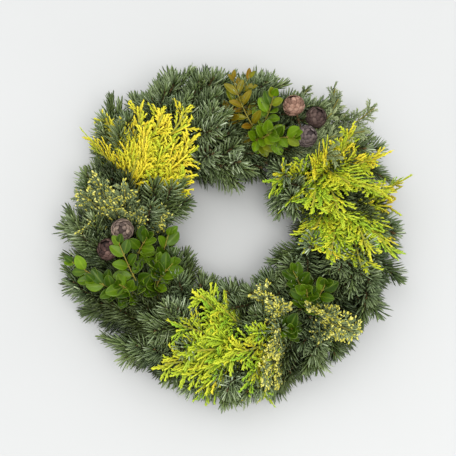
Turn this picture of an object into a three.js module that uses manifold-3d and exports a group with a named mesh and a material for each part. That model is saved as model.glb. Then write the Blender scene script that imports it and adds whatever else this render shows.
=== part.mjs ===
// A fresh evergreen wreath, lying flat. A straw ring is wound with wire, and the stems of the sprigs
// are tied down under the wire's turns: noble fir, golden cypress, blue-grey cypress, box and cones.
// Millimetres, +Z up. Angles are in degrees: theta runs round the wreath, counterclockwise from +X as
// seen from above, and phi runs round the straw's section, from 0 at the outside to 90 at the top.
import * as THREE from "three";
import { mergeVertices } from "three/addons/utils/BufferGeometryUtils.js";
import Module from "manifold-3d";

const wasm = await Module();
wasm.setup();

// Driving dimensions
const RING_RADIUS = 102; // from the wreath's centre to the middle of the straw
const STRAW_RADIUS = 18;
const STRAW_HEIGHT = 16.3; // the middle of the straw above the table; its underside is pressed flat
const HOLE_RADIUS = 45; // the foliage leaves this much of the middle open
const STEM_RADIUS = 1.1;
const WIRE_RADIUS = 0.7;
const WIRE_TURNS = 18;
const SECTION_SIDES = 8; // corners of the straw's section, and of each turn of wire
const SEAT_GAP = 0.3; // between a stem and what it lies on
const SAFE_GAP = 0.35; // between pieces of different sprigs
const OWN_GAP = 0.1; // between pieces of one sprig

const TURN_DEG = 360 / WIRE_TURNS;
const SIDE_DEG = 360 / SECTION_SIDES;
const UNDERSIDE_DEG = 270 - SIDE_DEG / 2; // phi of the first corner, so that a flat side lies below
const GROOVE_HEIGHT = 2.2; // the wire bites this deep into the straw's underside
const BULGES_PER_TURN = 3; // sections of straw for each turn of wire, the first one in its groove
const HEEL_DEG = 4.5; // half of the stretch of stem that lies along the straw
const SPRING = { fir: 0.26, other: 0.14 }; // how far a stem first bends outwards, as a share of its reach
const SIDE_ROOT = 4.5; // from the middle of a leading shoot to the first full section of a side shoot

const COLOURS = {
  straw: { color: 0xb99a58, roughness: 0.9 },
  wire: { color: 0x2f4a2c, roughness: 0.4, metalness: 0.7 },
  fir: { color: 0x35512f, roughness: 0.6 },
  gold: { color: 0xc2c02c, roughness: 0.6 },
  cypress: { color: 0x72895c, roughness: 0.65 },
  box: { color: 0x55831f, roughness: 0.4 },
  cone: { color: 0x6f5546, roughness: 0.8 },
};

// Each sprig: the wire's turn that ties it, phi there, the way it points (-1 is clockwise), and its
// tip as theta, distance from the wreath's centre, and height.
const SPRIGS = [
  ["cone_top_1", "cone", 3, 46, -1, [64, 134, 60]],
  ["cone_top_2", "cone", 3, 29, -1, [54, 137, 54]],
  ["cone_top_3", "cone", 3, 80, -1, [52, 115, 56]],
  ["cone_left_1", "cone", 9, 88, -1, [182, 103, 60]],
  ["cone_left_2", "cone", 10, 65, -1, [190, 118, 54]],
  ["gold_left_1", "gold", 8, 62, -1, [128, 144, 60]],
  ["gold_left_2", "gold", 8, 30, -1, [147, 164, 50]],
  ["gold_left_3", "gold", 8, 94, -1, [112, 119, 64]],
  ["gold_left_4", "gold", 8, 128, -1, [134, 66, 54]],
  ["gold_right_1", "gold", 1, 54, 1, [39, 144, 60]],
  ["gold_right_2", "gold", 1, 20, -1, [17, 166, 48]],
  ["gold_right_3", "gold", 1, 130, 1, [49, 62, 58]],
  ["gold_right_4", "gold", 1, 80, -1, [342, 124, 60]],
  ["gold_right_5", "gold", 2, 84, -1, [4, 98, 68]],
  ["gold_bottom_1", "gold", 14, 66, -1, [244, 141, 53]],
  ["gold_bottom_2", "gold", 14, 110, -1, [246, 72, 62]],
  ["gold_bottom_3", "gold", 14, 40, -1, [260, 151, 34]],
  ["gold_bottom_4", "gold", 14, 14, -1, [281, 156, 26]],
  ["cypress_top_1", "cypress", 3, 12, -1, [55, 176, 46]],
  ["cypress_top_2", "cypress", 3, -5, -1, [42, 188, 42]],
  ["cypress_top_3", "cypress", 3, 63, -1, [37, 158, 58]],
  ["cypress_left_1", "beaded", 9, 54, -1, [167, 148, 54]],
  ["cypress_left_2", "beaded", 9, 36, -1, [182, 142, 56]],
  ["cypress_right_1", "beaded", 15, 48, -1, [281, 143, 52]],
  ["cypress_right_2", "beaded", 15, 64, 1, [318, 149, 58]],
  ["cypress_right_3", "beaded", 15, 132, -1, [293, 66, 62]],
  ["box_top_1", "box", 3, 97, 1, [90, 146, 65]],
  ["box_top_2", "box", 4, 74, -1, [73, 131, 72]],
  ["box_top_3", "box", 4, 104, -1, [55, 104, 70]],
  ["box_left_1", "box", 11, 56, -1, [193, 152, 60]],
  ["box_left_2", "box", 11, 90, -1, [190, 106, 70]],
  ["box_left_3", "box", 11, 134, -1, [186, 60, 58]],
  ["box_left_4", "box", 11, 112, -1, [213, 66, 62]],
  ["box_right_1", "box", 15, 114, 1, [322, 70, 62]],
  ["box_right_2", "box", 15, 88, 1, [326, 101, 68]],
  ["fir_outer_01", "fir", 0, 36, -1, [324, 147, 38]],
  ["fir_outer_02", "fir", 1, -6, -1, [354, 153, 26]],
  ["fir_outer_03", "fir", 3, -22, -1, [21, 161, 25]],
  ["fir_outer_04", "fir", 4, 30, -1, [47, 160, 36]],
  ["fir_outer_05", "fir", 5, 24, -1, [77, 160, 36]],
  ["fir_outer_06", "fir", 7, 34, -1, [105, 168, 42]],
  ["fir_outer_07", "fir", 8, 4, -1, [131, 171, 35]],
  ["fir_outer_08", "fir", 9, 4, -1, [152, 152, 26]],
  ["fir_outer_09", "fir", 10, 30, -1, [173, 157, 36]],
  ["fir_outer_10", "fir", 11, 10, -1, [193, 160, 26]],
  ["fir_outer_11", "fir", 13, 40, -1, [221, 154, 38]],
  ["fir_outer_12", "fir", 14, -10, -1, [246, 144, 24]],
  ["fir_outer_13", "fir", 15, 4, -1, [268, 148, 22]],
  ["fir_outer_14", "fir", 16, 36, -1, [298, 145, 38]],
  ["fir_inner_1", "fir", 0, 146, -1, [314, 62, 44]],
  ["fir_inner_2", "fir", 3, 150, -1, [16, 62, 42]],
  ["fir_inner_3", "fir", 6, 146, -1, [75, 62, 46]],
  ["fir_inner_4", "fir", 9, 140, -1, [138, 66, 50]],
  ["fir_inner_5", "fir", 12, 150, -1, [196, 62, 40]],
  ["fir_inner_6", "fir", 15, 162, -1, [254, 62, 38]],
  ["fir_top_1", "fir", 6, 84, -1, [94, 112, 58]],
  ["fir_top_2", "fir", 13, 92, -1, [228, 116, 58]],
  ["fir_top_3", "fir", 18, 84, -1, [334, 122, 56]],
];

const rad = THREE.MathUtils.degToRad;
const { lerp, smoothstep } = THREE.MathUtils;

// The same number from 0 to 1 each time for the same seed.
function chance(seed) {
  const wave = Math.sin(seed * 12.9898 + 4.1414) * 43758.5453;
  return wave - Math.floor(wave);
}

function polar(theta, rho, z) {
  return new THREE.Vector3(rho * Math.cos(rad(theta)), rho * Math.sin(rad(theta)), z);
}

// The point at distance r from the middle of the straw.
function roundStraw(theta, phi, r) {
  return polar(theta, RING_RADIUS + r * Math.cos(rad(phi)), STRAW_HEIGHT + r * Math.sin(rad(phi)));
}

// How far the flat-sided straw reaches from its middle at phi.
function strawReach(phi) {
  const along = THREE.MathUtils.euclideanModulo(phi - UNDERSIDE_DEG, SIDE_DEG) - SIDE_DEG / 2;
  return (STRAW_RADIUS * Math.cos(rad(SIDE_DEG / 2))) / Math.cos(rad(along));
}

function wireTheta(turn, phi) {
  return (turn + phi / 360) * TURN_DEG;
}

function geometryOf(corners, faces) {
  const position = corners.flatMap((corner) => corner.toArray());
  const geometry = new THREE.BufferGeometry();
  geometry.setAttribute("position", new THREE.Float32BufferAttribute(position, 3));
  return geometry.setIndex(faces.flat());
}

function solidOf(geometry) {
  const bare = geometry.clone().deleteAttribute("normal").deleteAttribute("uv");
  const merged = mergeVertices(bare, 1e-4);
  const vertProperties = merged.attributes.position.array;
  const triVerts = new Uint32Array(merged.index.array);
  return new wasm.Manifold(new wasm.Mesh({ numProp: 3, vertProperties, triVerts }));
}

// One solid from many. A loose scrap or a hollow sealed in by the joining is dropped.
function fuse(geometries) {
  const bodies = wasm.Manifold.union(geometries.map(solidOf)).decompose();
  const whole = bodies.reduce((a, b) => (b.volume() > a.volume() ? b : a));
  const { numProp, vertProperties, triVerts } = whole.getMesh();
  const geometry = new THREE.BufferGeometry();
  geometry.setAttribute("position", new THREE.BufferAttribute(vertProperties, numProp));
  return geometry.setIndex(new THREE.BufferAttribute(triVerts, 1));
}

// A place on a shoot, with the directions along it, across it, and out from the straw.
function frameOf(at, along, outward) {
  const across = outward.clone().cross(along).normalize();
  return { at, along, across, out: along.clone().cross(across) };
}

function frameAt(curve, t, outward) {
  return frameOf(curve.getPoint(t), curve.getTangent(t), outward);
}

// The direction that leans from the frame's forward line by lean, to the side that turn gives:
// 0 is across, and 90 is out.
function leaning({ along, across, out }, lean, turn) {
  const side = across.clone().multiplyScalar(Math.cos(rad(turn)));
  side.addScaledVector(out, Math.sin(rad(turn)));
  return along.clone().multiplyScalar(Math.cos(rad(lean))).addScaledVector(side, Math.sin(rad(lean)));
}

// What is already filled, as lines with a radius, so that a new piece can be bent clear of it.
const filled = [];

// Lines that belong together: a shoot's core and its side shoot's root, and the roots on one shoot.
function mayMeet(a, b) {
  if (a.shoot.sprig !== b.shoot.sprig) return false;
  const nearRoot = a.nearRoot || b.nearRoot;
  return nearRoot && (a.shoot === b.shoot || (a.isCore && b.isCore));
}

function linesThrough(shoot, points, radii, facts = {}) {
  return points.slice(1).map((end, i) => {
    const line = new THREE.Line3(points[i], end);
    const middle = line.getCenter(new THREE.Vector3());
    return { shoot, line, middle, half: line.distance() / 2, radius: radii[i] ?? radii[0], ...facts };
  });
}

function clearOfStraw({ line, middle, radius }) {
  return [line.start, middle, line.end].every((p) => {
    const rho = Math.hypot(p.x, p.y);
    const fromStraw = Math.hypot(rho - RING_RADIUS, p.z - STRAW_HEIGHT);
    return p.z > radius + SEAT_GAP && rho > HOLE_RADIUS && fromStraw > STRAW_RADIUS + radius;
  });
}

function isClear(a) {
  return filled.every((b) => {
    const room = a.radius + b.radius + (a.shoot.sprig === b.shoot.sprig ? OWN_GAP : SAFE_GAP);
    const isFar = a.middle.distanceTo(b.middle) > a.half + b.half + room;
    return isFar || mayMeet(a, b) || a.line.distanceSqToLine3(b.line) > room * room;
  });
}

// The first of the tries whose lines cross nothing, or undefined. Its lines are then filled.
function firstClear(tries, linesOf) {
  const found = tries.find((attempt) => linesOf(attempt).every((a) => clearOfStraw(a) && isClear(a)));
  if (found !== undefined) filled.push(...linesOf(found));
  return found;
}

// The straw ring: a torus with a flat underside, drawn in by each turn of wire there.
function strawRing() {
  const sections = WIRE_TURNS * BULGES_PER_TURN;
  const torus = new THREE.TorusGeometry(RING_RADIUS, STRAW_RADIUS, SECTION_SIDES, sections);
  const place = torus.attributes.position;
  for (let side = 0; side <= SECTION_SIDES; side++) {
    for (let section = 0; section <= sections; section++) {
      const phi = UNDERSIDE_DEG + side * SIDE_DEG;
      const corner = roundStraw(wireTheta(section / BULGES_PER_TURN, phi), phi, STRAW_RADIUS);
      const floor = section % BULGES_PER_TURN === 0 ? GROOVE_HEIGHT : 0;
      place.setXYZ(side * (sections + 1) + section, corner.x, corner.y, Math.max(corner.z, floor));
    }
  }
  return torus;
}

// The wire hugs the straw's underside, and stands off at its sides and top, over the stems.
function wireCorner(i) {
  const phi = UNDERSIDE_DEG + i * SIDE_DEG;
  const overStems = STRAW_RADIUS + 2 * STEM_RADIUS + 2 * SEAT_GAP + WIRE_RADIUS + 0.4;
  const isUnder = Math.sin(rad(phi)) < -0.5;
  const corner = roundStraw(wireTheta(0, phi), phi, isUnder ? STRAW_RADIUS : overStems);
  return isUnder ? corner.setZ(GROOVE_HEIGHT / 2) : corner;
}

// Each corner of the wire has a three-sided section, turned to face the middle of the straw.
function bindingWire() {
  const count = WIRE_TURNS * SECTION_SIDES - 1; // the two ends stop one corner apart
  const points = Array.from({ length: count }, (_, i) => wireCorner(i));
  filled.push(...linesThrough({ sprig: "wire" }, points, [WIRE_RADIUS]));
  const corners = points.flatMap((at, i) => {
    const middle = new THREE.Vector3(at.x, at.y, 0).setLength(RING_RADIUS).setZ(STRAW_HEIGHT);
    const along = points[Math.min(i + 1, count - 1)].clone().sub(points[Math.max(i - 1, 0)]);
    return triangle(frameOf(at, along.normalize(), at.clone().sub(middle)), WIRE_RADIUS, 90);
  });
  const faces = points.slice(1).flatMap((_, i) =>
    [0, 1, 2].flatMap((k) => {
      const [a, b] = [3 * i + k, 3 * i + ((k + 1) % 3)];
      return [[a, b, a + 3], [b, b + 3, a + 3]];
    }),
  );
  const last = corners.length - 3;
  return geometryOf(corners, [[0, 2, 1], ...faces, [last, last + 1, last + 2]]);
}

function triangle(frame, radius, turn, flat = 1) {
  return [0, 120, 240].map((step) => {
    const corner = frame.at.clone().addScaledVector(frame.across, radius * Math.cos(rad(turn + step)));
    return corner.addScaledVector(frame.out, radius * flat * Math.sin(rad(turn + step)));
  });
}

// The next triangle's corners, counted on from the one that lies nearest above the first side.
function alignedTo(ring, next) {
  const cost = (shift) =>
    ring.reduce((sum, corner, k) => {
      const above = next[(k + shift) % 3];
      return sum + above.distanceToSquared(corner) + above.distanceToSquared(ring[(k + 1) % 3]);
    }, 0);
  const shift = [0, 1, 2].reduce((a, b) => (cost(b) < cost(a) ? b : a));
  return [0, 1, 2].map((k) => next[(k + shift) % 3]);
}

// A shoot is { stations, tip, flat, twist, budOf }. It grows out of a triangle, through one more at
// each station, to its tip. budOf may give a shoot that grows out of the face beside a station.
function grow(triangles, root, { stations, tip, flat = 1, twist = 60, budOf = () => null }) {
  let ring = root;
  let below = null;
  const side = (face, ahead) => {
    const bud = below && budOf(below, azimuthOf(below.frame, face, ahead), face);
    if (bud) grow(triangles, face, bud);
    else triangles.push(face);
  };
  stations.forEach((station, i) => {
    const next = alignedTo(ring, triangle(station.frame, station.radius, 90 + twist * i, flat));
    for (const k of [0, 1, 2]) {
      if (i === 0) fillRoot(station.shoot.sprig, ring[k], next);
      side([ring[k], ring[(k + 1) % 3], next[k]], station.frame.at);
      triangles.push([ring[(k + 1) % 3], next[(k + 1) % 3], next[k]]);
    }
    ring = next;
    below = station;
  });
  for (const k of [0, 1, 2]) side([ring[k], ring[(k + 1) % 3], tip], tip);
}

// The edges from a corner of the face that a shoot grows out of to its first section.
function fillRoot(sprig, corner, section) {
  const root = { sprig };
  for (const end of section) {
    filled.push(...linesThrough(root, [0.35, 0.85].map((share) => corner.clone().lerp(end, share)), [0.3]));
  }
}

function middleOf(face) {
  return face.reduce((sum, corner) => sum.add(corner), new THREE.Vector3()).divideScalar(3);
}

// Where round the shoot a face lies, with its third corner at the section ahead: 0 is across, and
// 90 is out.
function azimuthOf({ at, across, out }, face, ahead) {
  const middle = middleOf(face).sub(at.clone().lerp(ahead, 1 / 3));
  return THREE.MathUtils.radToDeg(Math.atan2(middle.dot(out), middle.dot(across)));
}

// 1 or -1 for a face at the side of a flat spray, and 0 for one on its back or front.
function sideOf(azimuth) {
  return Math.abs(Math.sin(rad(azimuth))) > 0.75 ? 0 : Math.sign(Math.cos(rad(azimuth)));
}

// The whole sprig as one closed geometry, from the cut end of its stem.
function sprigGeometry({ stations, ...shoot }) {
  const [cut, ...rest] = stations;
  const root = triangle(cut.frame, cut.radius, 150);
  const triangles = [[root[0], root[2], root[1]]];
  grow(triangles, root, { ...shoot, stations: rest });
  const geometry = new THREE.BufferGeometry().setFromPoints(triangles.flat());
  return mergeVertices(geometry, 1e-4);
}

// A stem lies along the straw, under the wire, for its heel, and then bends out to its tip.
function layStem({ turn, phi, way, tip, spring }) {
  const tie = wireTheta(turn, phi);
  const flatSeat = strawReach(phi) + SEAT_GAP + STEM_RADIUS;
  const bulge = Math.max(0, Math.cos(rad(phi))) * (RING_RADIUS + flatSeat) * (1 - Math.cos(rad(HEEL_DEG)));
  const seat = flatSeat + bulge;
  const back = roundStraw(tie - way * HEEL_DEG, phi, seat);
  const front = roundStraw(tie + way * HEEL_DEG, phi, seat);
  const outward = roundStraw(tie + way * HEEL_DEG, phi, seat + 1).sub(front);
  const along = front.clone().sub(back).normalize();
  const end = polar(...tip);
  const reach = front.distanceTo(end);
  const bend = front.clone().addScaledVector(along, reach * 0.3).addScaledVector(outward, reach * spring);
  const free = new THREE.QuadraticBezierCurve3(front, bend, end);
  return { heel: frameOf(back, along, outward), free, outward, reach };
}

// Stations from start to the tip of a curve, with the radius there.
function stationsOn(shoot, curve, outward, { count, start, radiusAt, shareAt = (i) => i / count }) {
  return Array.from({ length: count }, (_, i) => {
    const t = lerp(start, 1, shareAt(i));
    const place = { shoot, frame: frameAt(curve, t, outward), t, radius: radiusAt(t) };
    return { ...place, index: i, sides: {}, grown: new Set() };
  });
}

function layLeader(sprig, place) {
  const leader = { sprig, tip: sprig.free.getPoint(1) };
  const free = stationsOn(leader, sprig.free, sprig.outward, place);
  const heel = { shoot: leader, frame: sprig.heel, radius: STEM_RADIUS, isHeel: true };
  leader.stations = [heel, { ...heel, frame: frameAt(sprig.free, 0, sprig.outward) }, ...free];
  const points = [...leader.stations.map(({ frame }) => frame.at), leader.tip];
  const radii = leader.stations.map(({ radius }) => radius);
  filled.push(...linesThrough(leader, points, radii, { isCore: true }));
  sprig.leader = leader;
}

// A side shoot leaves its station at one side and bends forward again. Its lift off the plane of the
// spray is the first that has room, towards the face that it grows from, which is turned half a side
// from one station to the next.
function addSideShoot(station, side, { length, lean, lifts, ...place }) {
  const shoot = { sprig: station.shoot.sprig };
  const root = station.frame;
  const curveAt = (lift) => {
    const turn = side > 0 ? lift : 180 - lift;
    const middle = leaning(root, lean, turn).multiplyScalar(length * 0.5).add(root.at);
    const end = leaning(root, lean * 0.7, turn).multiplyScalar(length * 0.5).add(middle);
    return new THREE.QuadraticBezierCurve3(root.at, middle, end);
  };
  const faceSide = station.index % 2 ? 1 : -1;
  const tries = lifts.map((lift) => lift * faceSide);
  const lift = firstClear(tries, (attempt) => {
    const points = [0.08, 0.25, 0.6, 1].map((s) => curveAt(attempt).getPoint(s));
    const [near, ...far] = linesThrough(shoot, points, [place.radiusAt(0)], { isCore: true });
    return [{ ...near, nearRoot: true }, ...far];
  });
  if (lift === undefined) return;
  const start = SIDE_ROOT / length;
  shoot.stations = stationsOn(shoot, curveAt(lift), root.out, { ...place, start });
  shoot.tip = curveAt(lift).getPoint(1);
  station.sides[side] = shoot;
}

// A needle or twig drawn out of a face, turned or shortened until it crosses nothing. Null where
// it can't be. It is followed by its middle line and its three edges.
function spike({ frame, shoot }, face, { azimuth, turn, length, lean, radius }) {
  const turns = [turn, 0, 20, -20, 40, -40];
  const tries = [1, 0.65].flatMap((share) => turns.map((other) => ({ other, share })));
  const tipOf = ({ other, share }) =>
    leaning(frame, lean, azimuth + other).multiplyScalar(length * share).add(frame.at);
  const found = firstClear(tries, (attempt) => {
    const tip = tipOf(attempt);
    const root = middleOf(face);
    const along = (corner, share) => corner.clone().lerp(tip, share);
    const edges = face.map((corner) => [along(corner, 0.08), along(corner, 0.6)]);
    return [
      ...linesThrough(shoot, [along(root, 0.08), along(root, 0.4)], [radius * 1.4], { nearRoot: true }),
      ...linesThrough(shoot, [along(root, 0.4), tip], [radius * 0.8]),
      ...edges.flatMap((edge) => linesThrough(shoot, edge, [0.3], { nearRoot: true })),
    ];
  });
  return found ? { stations: [], tip: tipOf(found) } : null;
}

// A branch tip of noble fir: a leading shoot and four side shoots, set all round with needles.
const FIR = { core: 1.7, sideCore: 1.3, needle: 22, lean: 54, radius: 0.8 };
const FIR_RINGS = 9;
const FIR_SIDES = [
  { from: 3, side: 1, share: 0.6, count: 5 },
  { from: 4, side: -1, share: 0.54, count: 5 },
  { from: 6, side: 1, share: 0.42, count: 4 },
  { from: 7, side: -1, share: 0.36, count: 3 },
];

function firLeader(sprig) {
  layLeader(sprig, { count: FIR_RINGS, start: 0.1, radiusAt: (t) => FIR.core * (1 - 0.5 * t) });
}

function firSides(sprig) {
  for (const { from, side, share, count } of FIR_SIDES) {
    addSideShoot(sprig.leader.stations[from], side, {
      length: sprig.reach * share,
      lean: 50,
      lifts: [30, 15, 45, 0, 60, -15],
      count,
      radiusAt: (t) => FIR.sideCore * (1 - 0.45 * t),
    });
  }
}

function firNeedles(sprig) {
  const budOf = (station, azimuth, face) => {
    if (station.isHeel) return null;
    const shoot = station.sides[sideOf(azimuth)];
    if (shoot) return { ...shoot, budOf };
    const seed = sprig.seed + 57 * station.t + azimuth + station.frame.at.x;
    const tipward = smoothstep(station.t, 0.6, 1);
    return spike(station, face, {
      azimuth,
      turn: 36 * (chance(seed) - 0.5),
      length: FIR.needle * (0.86 + 0.25 * chance(seed + 0.3)) * (1 - 0.2 * tipward),
      lean: FIR.lean * (1 - 0.5 * tipward) + 10 * (chance(seed + 0.6) - 0.5),
      radius: FIR.radius,
    });
  };
  sprig.geometry = sprigGeometry({ ...sprig.leader, budOf });
}

// A flat fan of cypress: side branches to the left and right in turn, each with twigs in its plane.
const FANS = {
  gold: { stem: 1.4, branches: 6, spread: 0.52, twig: 12, radius: 1.15, flat: 0.7, lean: 42, tip: 0.5 },
  cypress: { stem: 1.2, branches: 5, spread: 0.44, twig: 11, radius: 0.95, flat: 0.8, lean: 38, tip: 0.5 },
  beaded: { stem: 1.2, branches: 5, spread: 0.44, twig: 10, radius: 0.95, flat: 0.9, lean: 40, tip: 1.3 },
};

function fanLeader(sprig) {
  const { stem, branches } = FANS[sprig.kind];
  layLeader(sprig, { count: branches + 1, start: 0.12, radiusAt: (t) => stem * (1 - 0.5 * t) });
}

function fanBranches(sprig) {
  const fan = FANS[sprig.kind];
  sprig.leader.stations.slice(2, 2 + fan.branches).forEach((station, i) => {
    addSideShoot(station, i % 2 ? 1 : -1, {
      length: sprig.reach * fan.spread * (1 - 0.6 * station.t) + 5,
      lean: fan.lean,
      lifts: [0, 15, 30, 45, -15, 60],
      count: 4,
      radiusAt: (t) => fan.radius * lerp(1, fan.tip, t),
    });
  });
}

function fanTwigs(sprig) {
  const fan = FANS[sprig.kind];
  const budOf = (station, azimuth, face) => {
    const side = sideOf(azimuth);
    if (station.isHeel || side === 0 || station.grown.has(side)) return null;
    station.grown.add(side);
    const shoot = station.sides[side];
    if (shoot) return { ...shoot, flat: fan.flat, budOf };
    return spike(station, face, {
      azimuth,
      turn: side > 0 ? -azimuth : Math.sign(azimuth) * 180 - azimuth,
      length: fan.twig * (1 - 0.35 * station.t),
      lean: fan.lean,
      radius: fan.radius * 0.8,
    });
  };
  sprig.geometry = sprigGeometry({ ...sprig.leader, flat: fan.flat, budOf });
}

// A leafy stem of box: whorls of oval leaves, each between two stations that lie close together.
const BOX = { stem: 1.1, whorls: 5, leaf: 16, halfWidth: 4.7, thickness: 1.4 };

function boxStem(sprig) {
  const shareAt = (i) => (Math.floor(i / 2) + (i % 2) * 0.2) / BOX.whorls;
  const radiusAt = (t) => BOX.stem * (1 - 0.3 * t);
  layLeader(sprig, { count: 2 * BOX.whorls, start: 0.3, radiusAt, shareAt });
}

function boxLeaves(sprig) {
  const budOf = (station, azimuth) => {
    if (station.isHeel || station.index % 2) return null;
    return leaf(station, azimuth, lerp(70, 42, station.t));
  };
  sprig.geometry = sprigGeometry({ ...sprig.leader, twist: 30, budOf });
}

// A leaf's own directions: away from the stem, across the blade, and out of its upper face.
function leafFrame(frame, lean, turn) {
  const away = leaning(frame, lean, turn);
  const face = frame.along.clone().cross(away).cross(away).normalize();
  return frameOf(frame.at, away, face.dot(frame.out) < 0 ? face.negate() : face);
}

function leaf({ frame, shoot }, azimuth, lean) {
  const placeOn = (blade, s, w = 0) => {
    const place = blade.at.clone().addScaledVector(blade.along, BOX.leaf * s);
    return place.addScaledVector(blade.across, BOX.halfWidth * w);
  };
  const turn = firstClear([0, 15, -15, 30, -30], (attempt) => {
    const blade = leafFrame(frame, lean, azimuth + attempt);
    return [-0.7, 0, 0.7].flatMap((w) => {
      const along = [placeOn(blade, 0.36, w), placeOn(blade, 0.7, w)];
      return linesThrough(shoot, [placeOn(blade, 0.2), ...along, placeOn(blade, 0.97)], [0.9, 1.5, 1.2]);
    });
  });
  if (turn === undefined) return null;
  const blade = leafFrame(frame, lean, azimuth + turn);
  const wide = BOX.halfWidth / Math.cos(rad(30));
  const stations = [0.36, 0.7].map((s, i) => {
    return { shoot, frame: { ...blade, at: placeOn(blade, s) }, radius: wide * (1 - 0.12 * i) };
  });
  return { stations, tip: placeOn(blade, 1), flat: BOX.thickness / (1.5 * wide), twist: 0 };
}

// A round woody cone on its stalk. Its surface is raised in rows of scales that stand in turn.
const CONE = { radius: 10, stalk: 1.2, rows: 6, scales: 10, relief: 0.09, length: 1.08 };

function coneOnStalk(sprig) {
  layLeader(sprig, { count: 2, start: 0.4, radiusAt: () => CONE.stalk });
  const { tip } = sprig.leader;
  const ball = new THREE.SphereGeometry(CONE.radius, CONE.scales, CONE.rows);
  const place = ball.attributes.position;
  for (let i = 0; i < place.count; i++) {
    const row = Math.floor(i / (CONE.scales + 1));
    const scale = i % (CONE.scales + 1);
    const isPole = row === 0 || row === CONE.rows;
    const raised = 1 + CONE.relief * (isPole || (row + scale) % 2 ? 1 : -1);
    place.setXYZ(i, place.getX(i) * raised, place.getY(i) * raised * CONE.length, place.getZ(i) * raised);
  }
  const axis = sprig.free.getTangent(1);
  ball.applyQuaternion(new THREE.Quaternion().setFromUnitVectors(new THREE.Vector3(0, 1, 0), axis));
  ball.translate(...tip);
  filled.push(...linesThrough(sprig.leader, [tip, tip], [CONE.radius * 1.18]));
  sprig.geometry = fuse([sprigGeometry(sprig.leader), ball]);
}

// Every stem is laid first, then the side shoots, then the needles and leaves.
const STAGES = {
  cone: [coneOnStalk],
  gold: [fanLeader, fanBranches, fanTwigs],
  cypress: [fanLeader, fanBranches, fanTwigs],
  beaded: [fanLeader, fanBranches, fanTwigs],
  box: [boxStem, boxLeaves],
  fir: [firLeader, firSides, firNeedles],
};

function growSprigs() {
  const sprigs = SPRIGS.map(([name, kind, turn, phi, way, tip], i) => {
    const spring = SPRING[kind] ?? SPRING.other;
    return { name, kind, seed: 1000 * i, ...layStem({ turn, phi, way, tip, spring }) };
  });
  for (const stage of [0, 1, 2]) {
    for (const sprig of sprigs) STAGES[sprig.kind][stage]?.(sprig);
  }
  return sprigs;
}

function meshOf(name, geometry, colour) {
  const mesh = new THREE.Mesh(geometry, new THREE.MeshStandardMaterial(COLOURS[colour]));
  mesh.name = name;
  return mesh;
}

const wreath = new THREE.Group();
wreath.add(meshOf("straw_ring", strawRing(), "straw"));
wreath.add(meshOf("binding_wire", bindingWire(), "wire"));
for (const { name, kind, geometry } of growSprigs()) {
  wreath.add(meshOf(name, geometry, kind === "beaded" ? "cypress" : kind));
}

// The origin is at the middle of the whole outline, on the table.
const middle = new THREE.Box3().setFromObject(wreath).getCenter(new THREE.Vector3());
wreath.position.set(-middle.x, -middle.y, 0);

export default wreath;
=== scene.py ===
# The looks of a fresh evergreen wreath that lies flat on a pale surface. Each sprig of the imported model
# is replaced by a finer one on the same stem: fir with all its needles, lacy cypress, glossy box, cones.
# Places are worked out in millimetres round the straw ring, and go into the meshes in metres. Angles are
# in degrees. Theta runs round the wreath, counterclockwise from +X as seen from above. Phi runs round the
# straw's section, from 0 at the outside to 90 at the top.
import math

import bpy
import numpy as np
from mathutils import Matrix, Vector


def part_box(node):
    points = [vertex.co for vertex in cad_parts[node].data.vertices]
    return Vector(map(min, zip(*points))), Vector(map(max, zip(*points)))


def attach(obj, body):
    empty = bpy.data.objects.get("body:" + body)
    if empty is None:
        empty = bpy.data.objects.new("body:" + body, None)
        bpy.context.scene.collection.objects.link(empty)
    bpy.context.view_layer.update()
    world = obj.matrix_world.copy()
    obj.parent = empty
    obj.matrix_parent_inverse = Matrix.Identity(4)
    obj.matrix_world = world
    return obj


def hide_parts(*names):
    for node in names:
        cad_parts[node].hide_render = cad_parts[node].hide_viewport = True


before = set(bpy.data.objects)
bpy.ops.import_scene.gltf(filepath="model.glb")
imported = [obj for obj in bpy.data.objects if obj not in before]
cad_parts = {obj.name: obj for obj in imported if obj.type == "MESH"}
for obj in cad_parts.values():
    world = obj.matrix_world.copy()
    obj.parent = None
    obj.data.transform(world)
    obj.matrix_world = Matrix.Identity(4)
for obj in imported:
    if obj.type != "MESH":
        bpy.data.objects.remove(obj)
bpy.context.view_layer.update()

MM = 0.001

# Driving dimensions of the ring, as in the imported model
RING_RADIUS = 102
STRAW_RADIUS = 18
STRAW_HEIGHT = 16.3  # of the straw's middle above the surface
SIDE_DEG = 45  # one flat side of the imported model's straw
UNDERSIDE_DEG = 247.5  # where the flat underside begins, and the wire with it
WIRE_RADIUS = 0.7
WIRE_TURNS = 18
TURN_DEG = 360 / WIRE_TURNS
GROOVE_HEIGHT = 2.2  # of the grooves that the wire draws in the underside
STEM_RADIUS = 1.1
SEAT_GAP = 0.3  # between the straw and a stem
HEEL_DEG = 4.5  # how far a stem's heel runs along the ring on each side of its tie
STEM_RUN = 0.3  # how far a stem first runs on from its heel, as a share of its reach
SPRING = {"fir": 0.26, "fir_filler": 0.06}  # how far it first bends outwards, as a share of its reach
OTHER_SPRING = 0.14
LIE_HEIGHT = 3  # foliage lower than this is pressed up by the surface
RING_CENTRE = sum(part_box("straw_ring"), Vector()) / 2 / MM

# The photograph's view
IMAGE_PX = 456
LOOK_PX = (233, 233)  # where the middle of the ring shows
LOOK_HEIGHT = 35
CAMERA_DISTANCE = 850
CAMERA_ELEVATION = 75.5
LENS = 70
SENSOR = 36

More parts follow.
